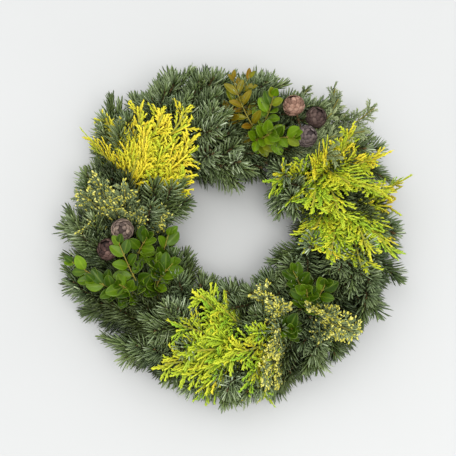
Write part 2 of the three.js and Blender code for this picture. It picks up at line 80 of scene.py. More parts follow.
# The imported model's sprigs: how they are named, their kind, and the place of each. A place is the wire's
# turn that ties it, phi there, and its tip's theta, distance from the ring's centre, and height. A last 1
# makes it point counterclockwise round the ring. The others point clockwise.
SPRIGS = [
    ("cone_top_{}", "cone", [(3, 46, 64, 134, 60), (3, 29, 54, 137, 54), (3, 80, 52, 115, 56)]),
    ("cone_left_{}", "cone", [(9, 88, 182, 103, 60), (10, 65, 190, 118, 54)]),
    ("gold_left_{}", "gold", [
        (8, 62, 128, 144, 60), (8, 30, 147, 164, 50), (8, 94, 112, 119, 64), (8, 128, 134, 66, 54),
    ]),
    ("gold_right_{}", "gold", [
        (1, 54, 39, 144, 60, 1), (1, 20, 17, 166, 48), (1, 130, 49, 62, 58, 1), (1, 80, 342, 124, 60),
        (2, 84, 4, 98, 68),
    ]),
    ("gold_bottom_{}", "gold", [
        (14, 66, 244, 141, 53), (14, 110, 246, 72, 62), (14, 40, 260, 151, 34), (14, 14, 281, 156, 26),
    ]),
    ("cypress_top_{}", "cypress", [
        (3, 12, 55, 176, 46), (3, -5, 42, 188, 42), (3, 63, 37, 158, 58),
    ]),
    ("cypress_left_{}", "beaded", [(9, 54, 167, 148, 54), (9, 36, 182, 142, 56)]),
    ("cypress_right_{}", "beaded", [
        (15, 48, 281, 143, 52), (15, 64, 318, 149, 58, 1), (15, 132, 293, 66, 62),
    ]),
    ("box_top_{}", "box", [(3, 97, 90, 146, 65, 1), (4, 74, 73, 131, 72), (4, 104, 55, 104, 70)]),
    ("box_left_{}", "box", [
        (11, 56, 193, 152, 60), (11, 90, 190, 106, 70), (11, 134, 186, 60, 58), (11, 112, 213, 66, 62),
    ]),
    ("box_right_{}", "box", [(15, 114, 322, 70, 62, 1), (15, 88, 326, 101, 68, 1)]),
    ("fir_outer_{:02d}", "fir", [
        (0, 36, 324, 147, 38), (1, -6, 354, 153, 26), (3, -22, 21, 161, 25), (4, 30, 47, 160, 36),
        (5, 24, 77, 160, 36), (7, 34, 105, 168, 42), (8, 4, 131, 171, 35), (9, 4, 152, 152, 26),
        (10, 30, 173, 157, 36), (11, 10, 193, 160, 26), (13, 40, 221, 154, 38), (14, -10, 246, 144, 24),
        (15, 4, 268, 148, 22), (16, 36, 298, 145, 38),
    ]),
    ("fir_inner_{}", "fir", [
        (0, 146, 314, 62, 44), (3, 150, 16, 62, 42), (6, 146, 75, 62, 46), (9, 140, 138, 66, 50),
        (12, 150, 196, 62, 40), (15, 162, 254, 62, 38),
    ]),
    ("fir_top_{}", "fir", [(6, 84, 94, 112, 58), (13, 92, 228, 116, 58), (18, 84, 334, 122, 56)]),
]
# Further sprigs that the photograph shows between those, tied to the ring in the same way
EXTRA = [
    ("fir_extra_{}", "fir", [
        (7, 10, 118, 160, 40), (7, 22, 111, 162, 44), (6, 34, 100, 162, 44), (8, 24, 126, 152, 34),
        (6, 20, 91, 157, 42), (5, 34, 82, 152, 42), (14, 24, 267, 158, 34), (8, 8, 132, 180, 38),
        (5, 26, 72, 157, 42), (16, 150, 298, 56, 40), (13, 150, 236, 55, 38), (15, 100, 279, 92, 46),
    ]),
    ("gold_left_extra_{}", "gold", [
        (8, 48, 138, 166, 48), (8, 78, 122, 128, 64), (8, 112, 116, 90, 60), (8, 140, 145, 64, 46),
        (8, 70, 134, 118, 68),
    ]),
    ("gold_upper_extra_{}", "gold", [
        (1, 66, 40, 112, 66, 1), (1, 38, 27, 158, 48, 1), (1, 84, 38, 98, 63, 1),
    ]),
    ("gold_right_extra_{}", "gold", [
        (2, 138, 26, 60, 56), (1, 118, 350, 70, 56), (1, 50, 352, 148, 50), (1, 96, 342, 94, 66),
        (2, 58, 12, 142, 64), (2, 104, 14, 76, 66), (2, 72, 20, 116, 67), (1, 66, 350, 124, 68),
    ]),
    ("gold_bottom_extra_{}", "gold", [
        (14, 88, 244, 104, 62), (14, 118, 262, 76, 58), (14, 54, 251, 138, 50), (14, 50, 262, 128, 56),
        (14, 74, 252, 122, 66), (15, 20, 282, 148, 34), (15, 46, 276, 140, 46), (15, 72, 268, 120, 58),
    ]),
    ("cypress_extra_{}", "cypress", [
        (3, 40, 46, 156, 56), (3, 24, 52, 168, 48), (3, 54, 50, 148, 58), (3, 84, 42, 132, 64),
        (3, 100, 35, 120, 62), (4, 10, 63, 163, 42),
    ]),
    ("beaded_left_extra_{}", "beaded", [
        (9, 74, 170, 112, 60), (9, 100, 176, 86, 56), (9, 118, 168, 66, 50), (9, 88, 160, 108, 62),
        (9, 60, 160, 136, 56),
    ]),
    ("beaded_right_extra_{}", "beaded", [
        (15, 62, 288, 116, 60), (15, 98, 300, 84, 62), (15, 44, 310, 132, 54, 1), (15, 30, 286, 146, 40),
        (15, 76, 314, 112, 62, 1),
    ]),
    ("box_bronze_extra", "box", [(4, 82, 84, 150, 62, 1)]),
    ("box_top_extra_{}", "box", [(4, 112, 68, 98, 66)]),
    ("box_left_extra_{}", "box", [
        (11, 66, 202, 138, 58), (11, 80, 208, 118, 62), (11, 122, 205, 78, 64), (10, 104, 188, 80, 62),
    ]),
    ("box_right_extra_{}", "box", [(15, 100, 318, 90, 64, 1), (15, 84, 299, 110, 62)]),
]
# Firs whose side shoots are shorter, as a share of the others'
SIDE_REACH = {"fir_outer_04": 0.7, "fir_outer_11": 0.6, "fir_extra_8": 0.4}
TONES = {  # how far a sprig is from green. Golden sprigs turn yellow, some bear buds, and box turns bronze.
    "gold_left": 0.84,
    "gold_upper": 0.75,
    "gold_right_1": 0.7,
    "gold_right_5": 0.55,
    "gold_right": 0.42,
    "gold_bottom": 0.36,
    "cypress_left": 0.28,
    "beaded_left": 0.25,
    "box_bronze": 0.72,
    "box_top_1": 0.76,
    "box_top": 0.42,
    "box_left": 0.26,
    "box_right": 0.2,
}
OTHER_TONE = 0.5

# Fir that fills the gaps between those sprigs, because the photograph shows no straw
FIR_FILL = [  # phi, distance and height of the tips, how many, and where the first is tied
    (6, 148, 20, 13, 10),
    (34, 140, 30, 12, 30),
    (62, 120, 36, 12, 8),
    (92, 104, 38, 12, 22),
    (122, 84, 37, 10, 3),
    (152, 70, 28, 10, 25),
]
FIR_FILL_SWEEP = 32
PRESSED = [(60, 155), (-52, 52), (180, 218), (236, 292)]  # where golden fans and box lie over the fir
PRESS_DEPTH = 9

# The order of a piece's materials
FOLIAGE, BARK, BEADS = 0, 1, 2

GOLDEN_DEG = 137.508  # from one scale of a cone to the next
GOLDEN_SHARE = 0.618034  # of the way round a shoot, from one needle to the next
UP = np.array([0, 0, 1.0])


def unit(v):
    return v / np.maximum(np.linalg.norm(v, axis=-1, keepdims=True), 1e-9)


def lerp(a, b, t):
    return a + (b - a) * t


def smoothstep(t, low, high):
    s = np.clip((t - low) / (high - low), 0, 1)
    return s * s * (3 - 2 * s)


def column(values):
    return np.asarray(values, float)[..., None]


def either_way(rng, most, count=None):
    """A number, or count of them, drawn from as far as most to either side of 0."""
    return rng.uniform(-most, most, count)


def polar(theta, rho, z):
    """The point at theta and distance rho from the ring's centre, at height z."""
    turn = np.radians(theta)
    x = RING_CENTRE.x + rho * np.cos(turn)
    y = RING_CENTRE.y + rho * np.sin(turn)
    return np.stack(np.broadcast_arrays(x, y, z), axis=-1).astype(float)


def round_straw(theta, phi, r):
    """The point at distance r from the middle of the straw."""
    turn = np.radians(phi)
    return polar(theta, RING_RADIUS + r * np.cos(turn), STRAW_HEIGHT + r * np.sin(turn))


def straw_reach(phi):
    """How far the flat-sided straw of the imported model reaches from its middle."""
    along = (phi - UNDERSIDE_DEG) % SIDE_DEG - SIDE_DEG / 2
    return STRAW_RADIUS * math.cos(math.radians(SIDE_DEG / 2)) / math.cos(math.radians(along))


def wire_theta(turn, phi):
    return (turn + phi / 360) * TURN_DEG


class Frames:
    """Places on a shoot, with the directions along it, across it, and out from the straw."""

    def __init__(self, at, along, outward):
        self.at = at
        self.along = unit(along)
        self.across = unit(np.cross(outward, self.along))
        self.out = np.cross(self.along, self.across)

    def leaning(self, lean, turn):
        """Leans from the forward line by lean, to the side that turn gives: 0 across, 90 out."""
        lean = np.radians(column(lean))
        turn = np.radians(column(turn))
        side = self.across * np.cos(turn) + self.out * np.sin(turn)
        return self.along * np.cos(lean) + side * np.sin(lean)


class Shoot:
    """A stem on a quadratic curve, with the way out from the straw beside it."""

    LEAN_LEFT = 0.7  # the share of its lean that a side shoot still has at its tip

    def __init__(self, root, bend, tip, outward):
        self.root, self.bend, self.tip, self.outward = root, bend, tip, outward
        self.length = float(np.linalg.norm(tip - root))

    def point(self, t):
        t = column(t)
        return self.root * (1 - t) ** 2 + self.bend * 2 * t * (1 - t) + self.tip * t * t

    def frames(self, t):
        s = column(t)
        along = (self.bend - self.root) * (1 - s) + (self.tip - self.bend) * s
        return Frames(self.point(t), along, self.outward)

    def side_shoot(self, t, turn, lean, length):
        """Leaves this shoot at t and bends forward again."""
        frames = self.frames(np.array([t]))
        at = frames.at[0]
        middle = at + frames.leaning([lean], [turn])[0] * length / 2
        tip = middle + frames.leaning([lean * self.LEAN_LEFT], [turn])[0] * length / 2
        return Shoot(at, middle, tip, frames.out[0])


def lay_stem(kind, turn, phi, way, tip):
    """The end of a stem's heel, which lies along the straw under the wire, and the shoot that leaves it."""
    tie = wire_theta(turn, phi)
    flat_seat = straw_reach(phi) + SEAT_GAP + STEM_RADIUS
    bulge = (RING_RADIUS + flat_seat) * (1 - math.cos(math.radians(HEEL_DEG)))
    seat = flat_seat + max(0, math.cos(math.radians(phi))) * bulge
    back = round_straw(tie - way * HEEL_DEG, phi, seat)
    front = round_straw(tie + way * HEEL_DEG, phi, seat)
    outward = round_straw(tie + way * HEEL_DEG, phi, seat + 1) - front
    end = polar(*tip)
    reach = np.linalg.norm(end - front)
    onward = unit(front - back) * reach * STEM_RUN
    bend = front + onward + outward * reach * SPRING.get(kind, OTHER_SPRING)
    return back, Shoot(front, bend, end, outward)


class Growth:
    """Closed tubes and blades that make up one piece. Each corner knows the tint of its own needle, twig
    or leaf, how far along that it lies, and by its mark where round or across that."""

    def __init__(self):
        self.corners, self.faces, self.materials = [], [], []
        self.values = {"tint": [], "along": [], "mark": []}
        self.count = 0

    def add(self, rings, tips, tint, material, mark=None, along=None):
        """Lofts n pieces through s rings of k corners each, closed at the root and at the tip."""
        n, s, k = rings.shape[:3]
        each = s * k + 1
        corners = np.concatenate([rings.reshape(n, s * k, 3), tips[:, None]], axis=1)
        along = np.linspace(0, 1, s + 1) if along is None else along
        mark = np.zeros(k) if mark is None else np.asarray(mark, float)
        per_corner = {
            "tint": np.repeat(np.broadcast_to(tint, n), each),
            "along": np.tile(np.append(np.repeat(along[:s], k), along[s]), n),
            "mark": np.tile(np.append(np.tile(mark, s), mark.mean()), n),
        }
        self.join(corners.reshape(-1, 3), loft_faces(n, s, k), per_corner, material)

    def join(self, corners, faces, per_corner, material):
        self.corners.append(corners)
        for sided in faces:
            self.faces.append(sided + self.count)
            self.materials.append(np.full(len(sided), material))
        for name, values in per_corner.items():
            self.values[name].append(values)
        self.count += len(corners)

    def settle(self):
        """Bends what would reach through the surface, so that it lies along it."""
        for corners in self.corners:
            low = np.minimum(corners[:, 2], LIE_HEIGHT)
            corners[:, 2] += LIE_HEIGHT * np.exp((low - LIE_HEIGHT) / LIE_HEIGHT) - low

    def piece(self, name, materials):
        """One Blender object in metres, with smooth faces."""
        mesh = bpy.data.meshes.new(name)
        corners = np.concatenate(self.corners) * MM
        mesh.vertices.add(len(corners))
        mesh.vertices.foreach_set("co", corners.astype(np.float32).ravel())
        loops = np.concatenate([sided.ravel() for sided in self.faces])
        sizes = np.concatenate([np.full(len(sided), sided.shape[1]) for sided in self.faces])
        mesh.loops.add(len(loops))
        mesh.loops.foreach_set("vertex_index", loops.astype(np.int32))
        mesh.polygons.add(len(sizes))
        mesh.polygons.foreach_set("loop_start", (np.cumsum(sizes) - sizes).astype(np.int32))
        mesh.polygons.foreach_set("use_smooth", np.ones(len(sizes), bool))
        mesh.polygons.foreach_set("material_index", np.concatenate(self.materials).astype(np.int32))
        for value_name, values in self.values.items():
            attribute = mesh.attributes.new(value_name, "FLOAT", "POINT")
            attribute.data.foreach_set("value", np.concatenate(values).astype(np.float32))
        for material in materials:
            mesh.materials.append(material)
        mesh.update(calc_edges=True)
        piece = bpy.data.objects.new(name, mesh)
        bpy.context.scene.collection.objects.link(piece)
        return piece


def loft_faces(n, s, k):
    """The faces of n lofts: quads between rings, triangles at the tip, and a fan over the root."""
    step = np.arange(k)
    ring = np.arange(s - 1)[:, None] * k
    left, right = ring + step, ring + (step + 1) % k
    quads = np.stack([left, right, right + k, left + k], axis=-1).reshape(-1, 4)
    last = (s - 1) * k
    point = [[last + i, last + (i + 1) % k, s * k] for i in range(k)]
    root = [[0, i + 1, i] for i in range(1, k - 1)]
    first = (np.arange(n) * (s * k + 1))[:, None, None]
    return [(first + quads).reshape(-1, 4), (first + np.array(point + root)).reshape(-1, 3)]


def tube_rings(points, outward, radius, sides, flat=1.0):
    """Rings round n lines of s points each. Flat is their height as a share of their width."""
    along = unit(np.gradient(points, axis=1))
    across = unit(np.cross(np.broadcast_to(outward, points.shape), along))
    out = np.cross(along, across)
    turn = np.arange(sides) * 2 * np.pi / sides
    wide = across[:, :, None] * column(np.cos(turn))
    high = out[:, :, None] * column(np.sin(turn)) * flat
    return points[:, :, None] + (wide + high) * np.asarray(radius, float)[..., None, None]


def bent_lines(root, away, bend, long, places):
    """Lines that leave each root and bend as they go, with points at places along them."""
    s = column(places)[None]
    return root[:, None] + column(long)[:, None] * (away[:, None] * s + bend[:, None] * s * s)


STEM_SIDES = 6
STEM_STEPS = 14
BRANCH_SIDES = 5
BRANCH_STEPS = 9
BRANCH_POINT = 1.5  # how far a branch's point stands out, in radii of its tip
MIDDLE_TINT = 0.5


def add_stem(growth, back, shoot, radius, tip_radius):
    """The bare stem, from its cut end under the wire to its tip."""
    t = np.linspace(0, 1, STEM_STEPS)
    points = np.concatenate([[back, lerp(back, shoot.root, 0.5)], shoot.point(t)])[None]
    radii = np.concatenate([[radius, radius], lerp(radius, tip_radius, t)])[None]
    rings = tube_rings(points, shoot.outward, radii, STEM_SIDES)
    tip = points[:, -1] + shoot.frames(t[-1:]).along * tip_radius
    growth.add(rings, tip, MIDDLE_TINT, BARK)


def add_branch(growth, shoot, radius, tip_radius, flat, tint, material):
    t = np.linspace(0, 1, BRANCH_STEPS)
    points = shoot.point(t)[None]
    rings = tube_rings(points, shoot.outward, lerp(radius, tip_radius, t)[None], BRANCH_SIDES, flat)
    tip = points[:, -1] + shoot.frames(t[-1:]).along * tip_radius * BRANCH_POINT
    growth.add(rings, tip, tint, material)


# Noble fir. A pair of numbers is either a range that a seeded draw picks from, or two ends to go between.
NEEDLE_LENGTH = 15
NEEDLE_WIDTH = 2.0
NEEDLE_THICKNESS = 0.85
NEEDLE_LENGTHS = (0.88, 1.1)
NEEDLE_WIDTHS = (0.85, 1.1)
NEEDLES_PER_MM = 2.0
FEWEST_NEEDLES = 8
NEEDLE_SHAPES = {  # places along a needle, with its width at each as a share of the widest
    "fir": ([0, 0.45, 0.86, 1], [0.5, 1, 0.85]),
    "fir_filler": ([0, 0.7, 1], [0.6, 1]),
}
NEEDLE_START = 0.05  # where on a shoot its needles begin
NEEDLE_TURNS = (-50, 230)  # the part of the way round a shoot that bears needles, 90 being its top
TURN_SPREAD = 4
NEEDLE_LEANS = (54, 22)  # beside a shoot, and round its tip
LEAN_SPREAD = 3.5
TIP_FROM = 0.75  # where the needles begin to close round the tip
TIP_NEEDLE = 0.72  # their length there, as a share of the others'
CURL_FORWARD, CURL_OUT, CURL_UP = 0.16, 0.12, 0.1  # as shares of a needle's length
CURL_SPREAD = 0.03
NEEDLE_TINT = 0.46
NEEDLE_TINT_SPREAD = 0.2
GLAUCOUS = (-0.14, 0.2)  # how much paler a sprig is
GLAUCOUS_SPREAD = 0.08
FIR_STEM, FIR_STEM_TIP = 1.7, 0.9
FIR_SIDE_STEM, FIR_SIDE_TIP = 1.2, 0.7
FIR_SIDES = [  # t on the leading shoot, side, face, share of the reach
    (0.2, 1, 1, 0.52),
    (0.3, -1, -1, 0.54),
    (0.42, -1, 1, 0.4),
    (0.5, 1, -1, 0.42),
    (0.6, -1, 1, 0.36),
    (0.72, 1, 1, 0.26),
]
FIR_LIFT = 26
FIR_SIDE_LEAN = 46
BUD_PLACES = (-0.6, 0.9, 2.4)  # from the tip of the shoot
BUD_RADII = (1.28, 1.6, 1.152)
BUD_LENGTH = 3.6
BUD_TINT = 0.8


def needle_comb(shoot, count, rng):
    """Where the needles of a shoot stand, which way they lean and curl, and their lengths."""
    order = np.arange(count)
    t = NEEDLE_START + (1 - NEEDLE_START) * (order + 0.5) / count
    frames = shoot.frames(t)
    tipward = smoothstep(t, TIP_FROM, 1)
    turn = lerp(*NEEDLE_TURNS, (order * GOLDEN_SHARE) % 1) + rng.normal(0, TURN_SPREAD, count)
    lean = lerp(*NEEDLE_LEANS, tipward) + rng.normal(0, LEAN_SPREAD, count)
    long = NEEDLE_LENGTH * rng.uniform(*NEEDLE_LENGTHS, count) * lerp(1, TIP_NEEDLE, tipward)
    curl = frames.along * CURL_FORWARD + frames.out * CURL_OUT + UP * CURL_UP
    curl = curl + rng.normal(0, CURL_SPREAD, (count, 3))
    return frames, frames.leaning(lean, turn), curl, long


def add_needles(growth, shoot, rng, kind, glaucous):
    """Blunt needles in a close comb along a shoot, which sweep forward and up."""
    count = max(FEWEST_NEEDLES, int(shoot.length * (1 - NEEDLE_START) * NEEDLES_PER_MM))
    frames, away, curl, long = needle_comb(shoot, count, rng)
    wide = unit(np.cross(away, frames.along))
    up = unit(np.cross(wide, away))
    places, widths = NEEDLE_SHAPES[kind]
    points = bent_lines(frames.at, away, curl, long, places)
    half = column(NEEDLE_WIDTH * rng.uniform(*NEEDLE_WIDTHS, count) / 2)[:, None, None]
    shape = column(widths)[None, :, None]
    corner_wide = np.array([-1, 1, 0])[None, None, :, None]
    corner_high = np.array([0, 0, 1])[None, None, :, None]
    rings = points[:, :-1, None] + wide[:, None, None] * corner_wide * half * shape
    rings = rings + up[:, None, None] * corner_high * NEEDLE_THICKNESS * shape
    tint = np.clip(rng.normal(NEEDLE_TINT + glaucous, NEEDLE_TINT_SPREAD, count), 0, 1)
    growth.add(
        rings[:, :, ::-1], points[:, -1], tint, FOLIAGE, mark=[0, 1, 1], along=np.array(places, float)
    )


def add_bud(growth, shoot):
    """The small resting bud at the tip of a fir shoot."""
    along = shoot.frames(np.array([1.0])).along
    points = shoot.tip + along[:, None] * column(BUD_PLACES)[None]
    rings = tube_rings(points, shoot.outward, np.array([BUD_RADII]), STEM_SIDES)
    growth.add(rings, shoot.tip[None] + along * BUD_LENGTH, BUD_TINT, BARK)


def fir_sprig(growth, back, leader, rng, kind, side_reach):
    glaucous = rng.uniform(*GLAUCOUS)
    add_stem(growth, back, leader, FIR_STEM, FIR_STEM_TIP)
    shoots = [leader]
    for t, side, face, share in FIR_SIDES:
        lift = FIR_LIFT * face
        turn = lift if side > 0 else 180 - lift
        length = leader.length * share * side_reach
        shoots.append(leader.side_shoot(t, turn, FIR_SIDE_LEAN, length))
    for shoot in shoots[1:]:
        add_branch(growth, shoot, FIR_SIDE_STEM, FIR_SIDE_TIP, 1, MIDDLE_TINT, BARK)
    for shoot in shoots:
        paler = glaucous + either_way(rng, GLAUCOUS_SPREAD)
        add_needles(growth, shoot, rng, kind, paler)
        add_bud(growth, shoot)


# Flat fans of cypress. Stem is the radius of the stem, and radius that of its twigs. Spread is the length
# of the first branch as a share of the stem's, and lean that of branches and twigs. Gap lies between two
# pairs of twigs, a nub is a twig's side tip, flat is a twig's height as a share of its width, and curve is
# how far twigs sway.
FANS = {
    "gold": dict(
        stem=1.2, radius=1.05, branches=8, spread=0.6, lean=36,
        twig=19, gap=7.4, nub=4.4, flat=0.5, curve=0.06,
    ),
    "cypress": dict(
        stem=1.0, radius=0.65, branches=11, spread=0.46, lean=34,
        twig=11, gap=4.6, nub=4.2, flat=0.8, curve=0.22,
    ),
    "beaded": dict(
        stem=1.0, radius=0.65, branches=12, spread=0.5, lean=38,
        twig=10, gap=4.4, nub=4.0, flat=0.9, curve=0.32,
    ),
}
BRANCH_PLACES = (0.12, 0.92)
BRANCH_TAPER = 0.94  # how much of their length branches lose towards the tip
BRANCH_LEAST = 4  # the length that they keep there
BRANCH_LENGTHS = (0.8, 1.15)
BRANCH_LIFTS = (-10, 18)
BRANCH_LEAN_SPREAD = 6
BRANCH_WIDTHS = (1.15, 0.85)  # at its foot and its tip, in radii of a twig
AGE_SPREAD = 0.3
AGES = (0.05, 0.95)  # the least and the most
BARE_STEM, BARE_BRANCH = 0.3, 0.18  # the part without twigs
FEWEST_TWIGS = 4
TWIGS_TO = 0.97
TWIG_OFFSET = 0.4  # of the first twig, as a share of the step to the next
TWIG_TURN_SPREAD = 11
TWIG_LEAN_SPREAD = 3
TWIG_LENGTHS = (0.7, 1.12)
TWIG_TAPER = (1.05, 0.62)
TWIG_SWAY_ACROSS = 0.4
TWIG_FORWARD = 0.16
TWIG_TINT_SPREAD = 0.13
TWIG_PLACES = (0, 0.28, 0.52, 0.76, 0.95)
TWIG_PINCH = (0.9, 0.8, 1.0, 0.85, 0.65)
TWIG_POINT = 1.03
NUB_PLACES = ((0.24, 1), (0.4, -1), (0.56, 1), (0.7, -1), (0.84, 1))  # share of a twig, side
NUB_LEAN = 0.5
NUB_LEAN_SPREAD = 0.15
NUB_LENGTHS = (0.6, 1.25)
NUB_LONGEST, NUB_TAPER = 1.15, 0.55  # longest at a twig's foot
NUB_RING = 0.8  # where its second ring lies
NUB_FORWARD = 0.2
NUB_POINT = 0.25
NUB_RADII = (0.78, 0.585)
NUB_ALONG = (0.4, 0.8, 0.95)  # coloured as if that far along a twig
BEAD_RADIUS = 0.85
BEAD_RADII = (0.65, 1.15)
BEAD_LENGTH = 1.5  # as a share of its width
BEAD_SHAPE = (0.55, 1, 0.7)
BEAD_POINT = 2.1


def fan_sprig(growth, back, leader, rng, kind, tone):
    """Branches to the left and right in turn, each with twigs and their side tips in its plane."""
    fan = FANS[kind]
    add_stem(growth, back, leader, fan["stem"], fan["radius"])
    shoots = [leader]
    for i in range(fan["branches"]):
        t = lerp(*BRANCH_PLACES, i / (fan["branches"] - 1))
        lift = rng.uniform(*BRANCH_LIFTS)
        turn = lift if i % 2 else 180 - lift
        length = leader.length * fan["spread"] * (1 - BRANCH_TAPER * t) + BRANCH_LEAST
        length = length * rng.uniform(*BRANCH_LENGTHS)
        lean = fan["lean"] + either_way(rng, BRANCH_LEAN_SPREAD)
        shoots.append(leader.side_shoot(t, turn, lean, length))
    for shoot in shoots:
        bare = BARE_STEM if shoot is leader else BARE_BRANCH
        fan_branch(growth, shoot, rng, kind, tone, bare)


def fan_branch(growth, shoot, rng, kind, tone, bare):
    fan = FANS[kind]
    age = np.clip(tone + either_way(rng, AGE_SPREAD), *AGES)
    foot, tip = [fan["radius"] * width for width in BRANCH_WIDTHS]
    add_branch(growth, shoot, foot, tip, fan["flat"], age, FOLIAGE)
    count = max(FEWEST_TWIGS, int(shoot.length * (1 - bare) / fan["gap"]) * 2)
    order = np.arange(count)
    t = bare + (TWIGS_TO - bare) * (order + TWIG_OFFSET) / count
    frames = shoot.frames(t)
    turn = np.where(order % 2, 0, 180) + either_way(rng, TWIG_TURN_SPREAD, count)
    away = frames.leaning(fan["lean"] + either_way(rng, TWIG_LEAN_SPREAD, count), turn)
    long = fan["twig"] * rng.uniform(*TWIG_LENGTHS, count) * lerp(*TWIG_TAPER, t)
    sway_out = frames.out * column(either_way(rng, 1, count))
    sway_across = frames.across * column(either_way(rng, TWIG_SWAY_ACROSS, count))
    bend = frames.along * TWIG_FORWARD + (sway_out + sway_across) * fan["curve"]
    tint = np.clip(age + rng.normal(0.0, TWIG_TINT_SPREAD, count), 0, 1)
    add_twigs(growth, frames, away, bend, long, fan, tint)
    for place in NUB_PLACES:
        nub_tips, lean = add_nubs(growth, frames, away, bend, long, place, fan, tint, rng)
        if kind == "beaded":
            add_beads(growth, nub_tips, lean, rng, tone)
    if kind == "beaded":
        add_beads(growth, frames.at + column(long) * (away + bend), away + bend, rng, tone)


def add_twigs(growth, frames, away, bend, long, fan, tint):
    """Short flattened twigs, pinched at each pair of scale leaves."""
    points = bent_lines(frames.at, away, bend, long, TWIG_PLACES)
    radii = fan["radius"] * np.array([TWIG_PINCH]) * np.ones((len(long), 1))
    rings = tube_rings(points, frames.out[:, None], radii, sides=4, flat=fan["flat"])
    growth.add(rings, frames.at + column(long) * (away + bend) * TWIG_POINT, tint, FOLIAGE)


def add_nubs(growth, frames, away, bend, long, place, fan, tint, rng):
    """The small side tips of each twig, like the tines of an antler."""
    share, way = place
    root = frames.at + column(long) * (away * share + bend * share * share)
    across = unit(np.cross(frames.out, away))
    flip = column(np.where(np.arange(len(root)) % 2, way, -way))
    askew = frames.out * column(either_way(rng, NUB_LEAN_SPREAD, len(root)))
    lean = unit(away + across * flip * NUB_LEAN + askew)
    nub = fan["nub"] * rng.uniform(*NUB_LENGTHS, len(root)) * (NUB_LONGEST - NUB_TAPER * share)
    points = bent_lines(root, lean, away * NUB_FORWARD, nub, (0, NUB_RING))
    radii = fan["radius"] * np.array([NUB_RADII]) * np.ones((len(root), 1))
    rings = tube_rings(points, frames.out[:, None], radii, sides=3, flat=fan["flat"])
    tips = points[:, -1] + unit(lean + away * 2 * NUB_FORWARD) * column(nub) * NUB_POINT
    growth.add(rings, tips, tint, FOLIAGE, along=np.array(NUB_ALONG))
    return tips, lean


def add_beads(growth, tips, along, rng, share):
    """The small yellow flower buds at the ends of a share of the twigs."""
    chosen = rng.random(len(tips)) < share
    tips, along = tips[chosen], unit(along[chosen])
    radius = BEAD_RADIUS * rng.uniform(*BEAD_RADII, len(tips))
    s = column([-1, 0, 1])[None] * BEAD_LENGTH
    points = tips[:, None] + along[:, None] * s * column(radius)[:, None]
    rings = tube_rings(points, UP, column(radius) * np.array([BEAD_SHAPE]), sides=5)
    growth.add(rings, tips + along * column(radius) * BEAD_POINT, rng.random(len(tips)), BEADS)


# Box
LEAF_LENGTH = 18
LEAF_LENGTHS = (0.78, 1.1)
LEAF_WIDTH = 11
LEAF_THICKNESS = 0.45
LEAF_ROWS = 9
LEAF_COLUMNS = 7
LEAF_PAIRS = 6
LEAF_FOOT = 0.08  # how much of a leaf's length its stalk takes
LEAF_ROUNDING = 0.6  # the nearer to 0, the blunter the oval
LEAF_FULLEST = 1.05  # above 1, the widest place moves towards the tip
LEAF_NARROWEST = 0.06
LEAF_CUP, RIB_DEPTH, LEAF_DROOP = 0.11, 0.022, 0.11  # as shares of a leaf's length
RIB_WIDTH = 0.2
LEAF_BOWS = (0.2, 1.6)  # how much leaves droop, as a share of the usual
LEAF_TINT_SPREAD = 0.1
LEAF_POINT = 1.005
LEAF_UNDERSIDE = 2  # what the underside's mark has over the upper side's
STALK_PLACES = (-0.03, 0.05, 0.12)  # as shares of the leaf's length
STALK_RADIUS = 0.45
STALK_TINT = 0.6
STALK_POINT = 0.3
BRONZE_FROM = 0.6  # young leaves with a tone above this are bronze and slim
BRONZE_WIDTH = 0.7
PAIR_TURNS = [(4, 176), (52, 128), (-14, 196), (30, 150)]  # where round the stem each pair stands in turn
PAIR_TURN_SPREAD = 12
PAIR_PLACES = (0.26, 0.97)
PAIR_GAP = 0.02
PAIR_LEANS = (68, 26)
CLOSE_FROM = 0.35  # where on the stem the leaves begin to close
PAIR_LEAN_SPREAD = 9
FACE_OUT, FACE_FORWARD, FACE_UP = 0.4, 0.35, 0.8  # what a leaf turns its face to
FACE_SPREAD = 0.22
YOUNG_FROM = 0.8
YOUNG_LEAF = 0.7  # the length of the last leaves, as a share of the others'
BOX_STEM_TIP = 0.35


def leaf_outline(s):
    """Half the width of an oval leaf at s along it, as a share of the widest."""
    oval = np.sin(np.pi * np.clip(s, 0, 1) ** LEAF_FULLEST)
    return np.maximum(np.clip(oval, 0, 1) ** LEAF_ROUNDING, LEAF_NARROWEST)


def add_leaves(growth, root, away, face, long, tone, rng):
    """Cupped oval leaves with a sunken midrib. Each is one closed blade."""
    n = len(root)
    s = (1 - np.cos(np.linspace(0, np.pi, LEAF_ROWS))) / 2
    w = np.linspace(-1, 1, LEAF_COLUMNS)
    outline = leaf_outline(s)[:, None]
    width = LEAF_WIDTH * (BRONZE_WIDTH if tone > BRONZE_FROM else 1)
    half = outline * w[None] * width / LEAF_LENGTH / 2
    cup = LEAF_CUP * (w[None] ** 2) * outline**2
    rib = -RIB_DEPTH * np.exp(-((w[None] / RIB_WIDTH) ** 2))
    droop = -LEAF_DROOP * s[:, None] ** 2
    side = unit(np.cross(face, away))
    up = np.cross(away, side)
    size = long[:, None, None, None]
    bow = rng.uniform(*LEAF_BOWS, n)[:, None, None, None]
    lengthwise = away[:, None, None] * lerp(LEAF_FOOT, 1, s)[None, :, None, None]
    flat = root[:, None, None] + size * (lengthwise + side[:, None, None] * half[None, ..., None])
    top = flat + size * up[:, None, None] * ((cup + rib)[None, ..., None] + droop[None, ..., None] * bow)
    under = top - up[:, None, None] * LEAF_THICKNESS
    rings = np.concatenate([top, under[:, :, ::-1]], axis=2)
    across = np.abs(w)
    mark = np.concatenate([across, LEAF_UNDERSIDE + across[::-1]])
    tint = np.clip(tone + rng.normal(0, LEAF_TINT_SPREAD, n), 0, 1)
    tips = root + away * column(long) * LEAF_POINT + up * column(long) * droop[-1] * bow[:, 0, 0]
    growth.add(rings, tips, tint, FOLIAGE, mark=mark)


